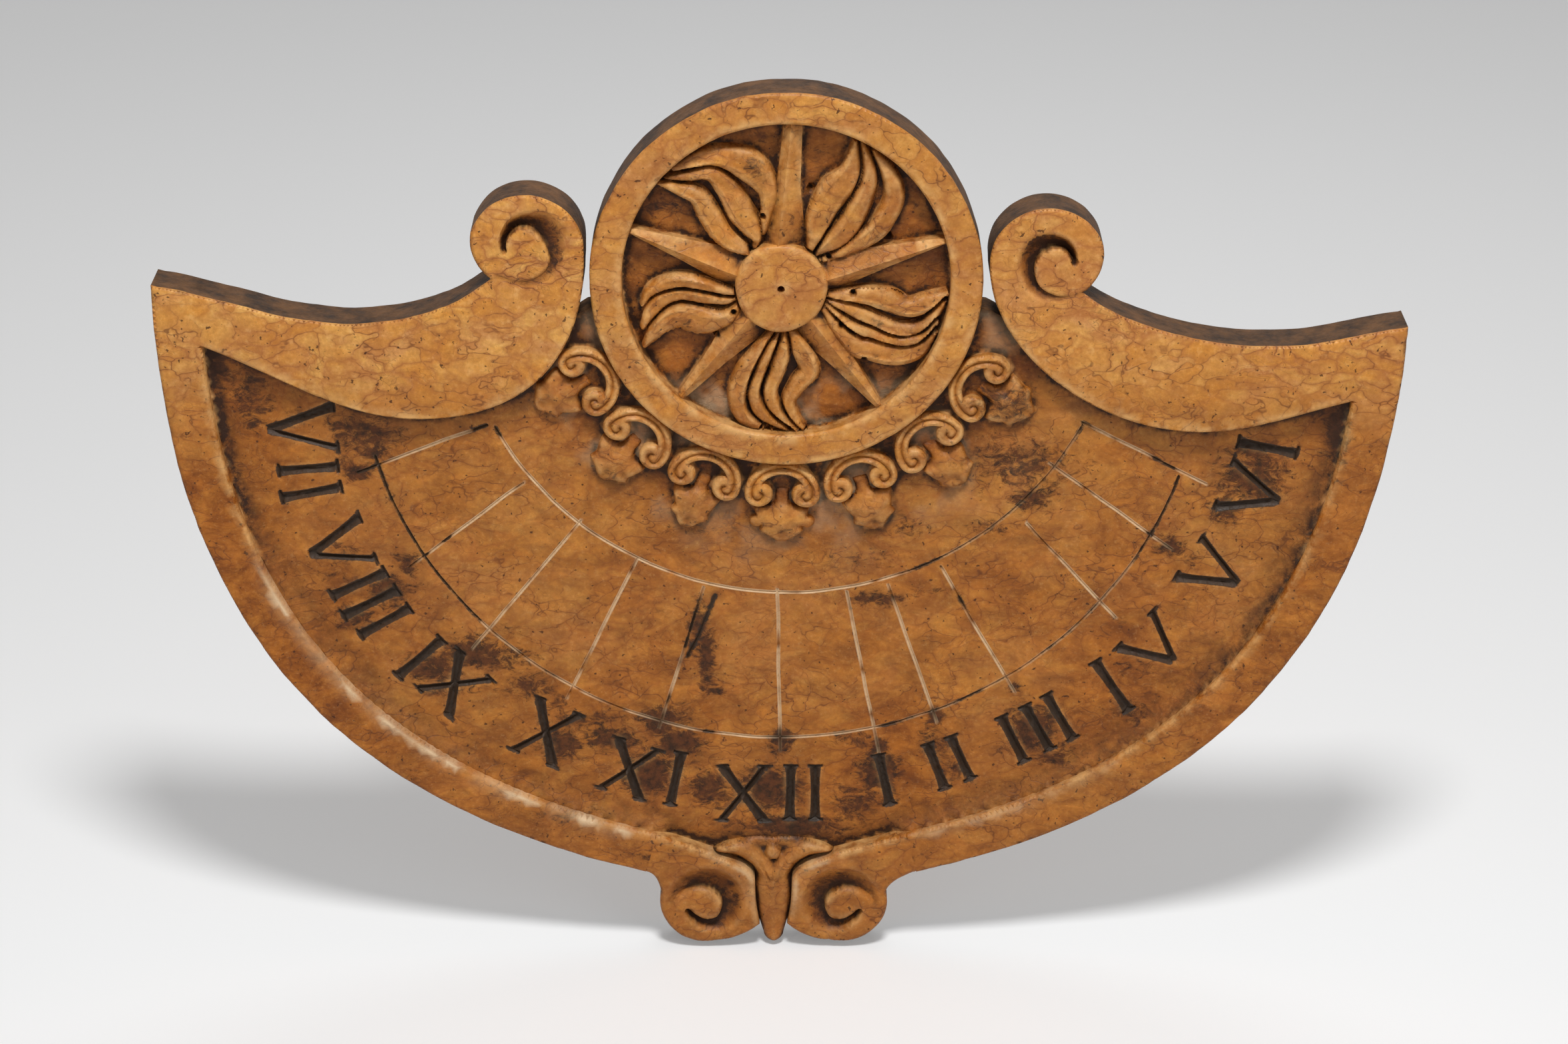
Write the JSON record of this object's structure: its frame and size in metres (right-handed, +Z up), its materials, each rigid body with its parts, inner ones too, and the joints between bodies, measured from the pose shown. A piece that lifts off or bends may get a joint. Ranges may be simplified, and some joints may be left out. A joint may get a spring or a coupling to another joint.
{
  "type": "stone sundial",
  "caption": "Carved stone wall sundial: a fan-shaped dial with a rim, scrolled wings and a sun roundel.",
  "frame": {"origin": "where the gnomon's axis meets the plane of the slab's back", "axes": "+X to the right as seen from the front, +Y into the wall, +Z up"},
  "size_m": [0.9757, 0.04, 0.7385],
  "materials": {
    "marble": "polished and weathered golden marble with dark veins",
    "bronze": "plain drawn rod"
  },
  "bodies": {
    "root": {"dial_slab": "marble", "rim_left": "marble", "rim_right": "marble", "wing_left": "marble", "wing_right": "marble", "sun_ring": "marble", "sun_boss": "marble", "ray_1": "marble", "ray_2": "marble", "ray_3": "marble", "ray_4": "marble", "ray_5": "marble", "flames_1": "marble", "flames_2": "marble", "flames_3": "marble", "flames_4": "marble", "flames_5": "marble", "leaf_scroll_1": "marble", "leaf_scroll_2": "marble", "leaf_scroll_3": "marble", "leaf_scroll_4": "marble", "leaf_scroll_5": "marble", "leaf_scroll_6": "marble", "leaf_scroll_7": "marble", "leaf_bud_1": "marble", "leaf_bud_2": "marble", "leaf_bud_3": "marble", "leaf_bud_4": "marble", "leaf_bud_5": "marble", "leaf_bud_6": "marble", "leaf_bud_7": "marble", "base_scroll_left": "marble", "base_scroll_right": "marble", "base_pendant": "marble", "bedding_dowels": "bronze"}
  },
  "joints": []
}
